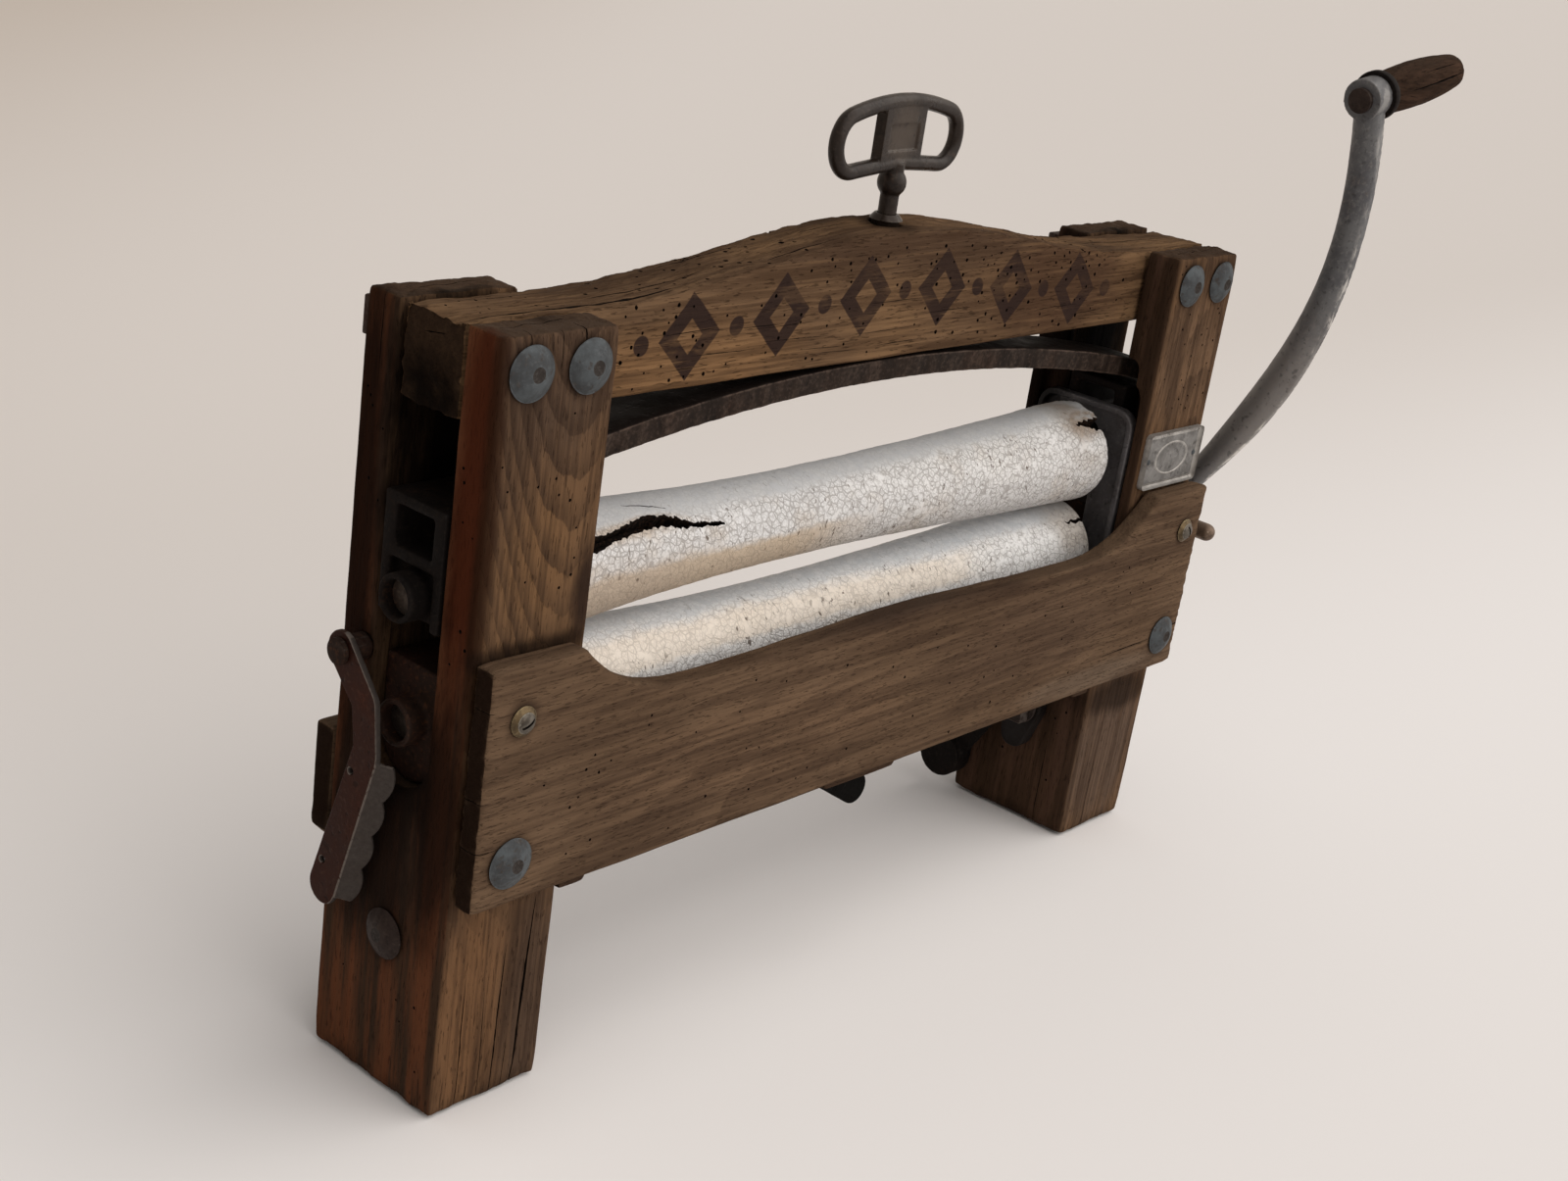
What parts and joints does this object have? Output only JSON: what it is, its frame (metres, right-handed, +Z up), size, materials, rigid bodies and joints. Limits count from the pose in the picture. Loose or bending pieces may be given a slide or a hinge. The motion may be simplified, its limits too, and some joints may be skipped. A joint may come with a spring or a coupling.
{
  "type": "clothes wringer",
  "caption": "Hand-cranked clothes wringer: forked wooden posts and beam carry rubber rollers, pressed together by a wing screw through a bow spring.",
  "frame": {"origin": "on the ground, midway between the two posts and midway through their depth", "axes": "+X along the rollers towards the crank, +Y to the back, +Z up"},
  "size_m": [0.7194, 0.1597, 0.4792],
  "materials": {
    "post_wood": "weathered",
    "beam_wood": "weathered",
    "board_wood": "weathered",
    "grip_wood": "worn",
    "roller_rubber": "crazed",
    "rusted_iron": "rusted",
    "galvanised_iron": "galvanised",
    "dark_iron": "bare",
    "spring_steel": "rusted",
    "shaft_steel": "rusted",
    "bolt_steel": "zinc plated",
    "screw_brass": "tarnished"
  },
  "bodies": {
    "frame": {"left_post": "post_wood", "right_post": "post_wood", "top_beam": "beam_wood", "front_board": "board_wood", "rear_board": "board_wood", "centre_cleat": "board_wood", "corner_cleats": "board_wood", "rest_tongue": "rusted_iron", "left_cheek_plate": "galvanised_iron", "right_cheek_plate": "galvanised_iron", "left_lower_block": "rusted_iron", "right_lower_block": "rusted_iron", "bow_spring": "spring_steel", "screw_bush": "dark_iron", "lever_pivot": "rusted_iron", "beam_bolts": "bolt_steel", "beam_bolt_washers": "bolt_steel", "beam_bolt_nuts": "bolt_steel", "board_bolts": "bolt_steel", "board_bolt_washers": "bolt_steel", "board_bolt_nuts": "bolt_steel", "foot_bolts": "bolt_steel", "foot_bolt_washers": "bolt_steel", "foot_bolt_nuts": "bolt_steel", "board_screws": "screw_brass", "screw_cups": "screw_brass", "tag_plate": "galvanised_iron", "tag_nails": "galvanised_iron"},
    "upper_carriage": {"left_upper_block": "rusted_iron", "right_upper_block": "rusted_iron"},
    "pressed_roller": {"upper_roller": "roller_rubber", "upper_shaft": "shaft_steel"},
    "drive_roller": {"lower_roller": "roller_rubber", "lower_shaft": "shaft_steel", "crank_arm": "galvanised_iron", "crank_set_screw": "galvanised_iron", "grip_pin": "shaft_steel", "grip_collar": "dark_iron"},
    "grip": {"crank_grip": "grip_wood"},
    "shoe": {"pressure_shoe": "dark_iron"},
    "screw": {"pressure_screw": "dark_iron"},
    "lever": {"side_lever": "rusted_iron"},
    "left_paw": {"left_clamp_paw": "rusted_iron"},
    "right_paw": {"right_clamp_paw": "rusted_iron"}
  },
  "joints": [
    {"name": "crank_turn", "type": "hinge", "parent": "frame", "child": "drive_roller", "pos_m": [0, 0, 0.18], "axis": [1, 0, 0], "continuous": true},
    {"name": "grip_spin", "type": "hinge", "parent": "drive_roller", "child": "grip", "pos_m": [0.3255, -0.07494, 0.45393], "axis": [0.9877, 0, 0.1564], "continuous": true},
    {"name": "upper_lift", "type": "slide", "parent": "frame", "child": "upper_carriage", "axis": [0, 0, 1], "range_m": [0, 0.008], "deforming": ["bow_spring"]},
    {"name": "upper_spin", "type": "hinge", "parent": "upper_carriage", "child": "pressed_roller", "pos_m": [0, 0, 0.238], "axis": [1, 0, 0], "continuous": true},
    {"name": "shoe_travel", "type": "slide", "parent": "frame", "child": "shoe", "axis": [0, 0, -1], "range_m": [0, 0.006], "deforming": ["bow_spring"]},
    {"name": "screw_turn", "type": "hinge", "parent": "shoe", "child": "screw", "pos_m": [0, 0, 0.384], "axis": [0, 0, -1], "range_deg": [0, 720], "deforming": ["bow_spring"]},
    {"name": "lever_swing", "type": "hinge", "parent": "frame", "child": "lever", "pos_m": [-0.2915, 0.02575, 0.206], "axis": [1, 0, 0], "range_deg": [0, 95]},
    {"name": "left_paw_swing", "type": "hinge", "parent": "frame", "child": "left_paw", "pos_m": [-0.21, -0.003, 0.078], "axis": [1, 0, 0], "range_deg": [0, 40]},
    {"name": "right_paw_swing", "type": "hinge", "parent": "frame", "child": "right_paw", "pos_m": [0.21, -0.003, 0.078], "axis": [1, 0, 0], "range_deg": [0, 40]}
  ],
  "couplings": [
    {"joint": "upper_spin", "follows": "crank_turn", "ratio": -1},
    {"joint": "shoe_travel", "follows": "screw_turn", "m_per_rad": 0.00047746}
  ]
}
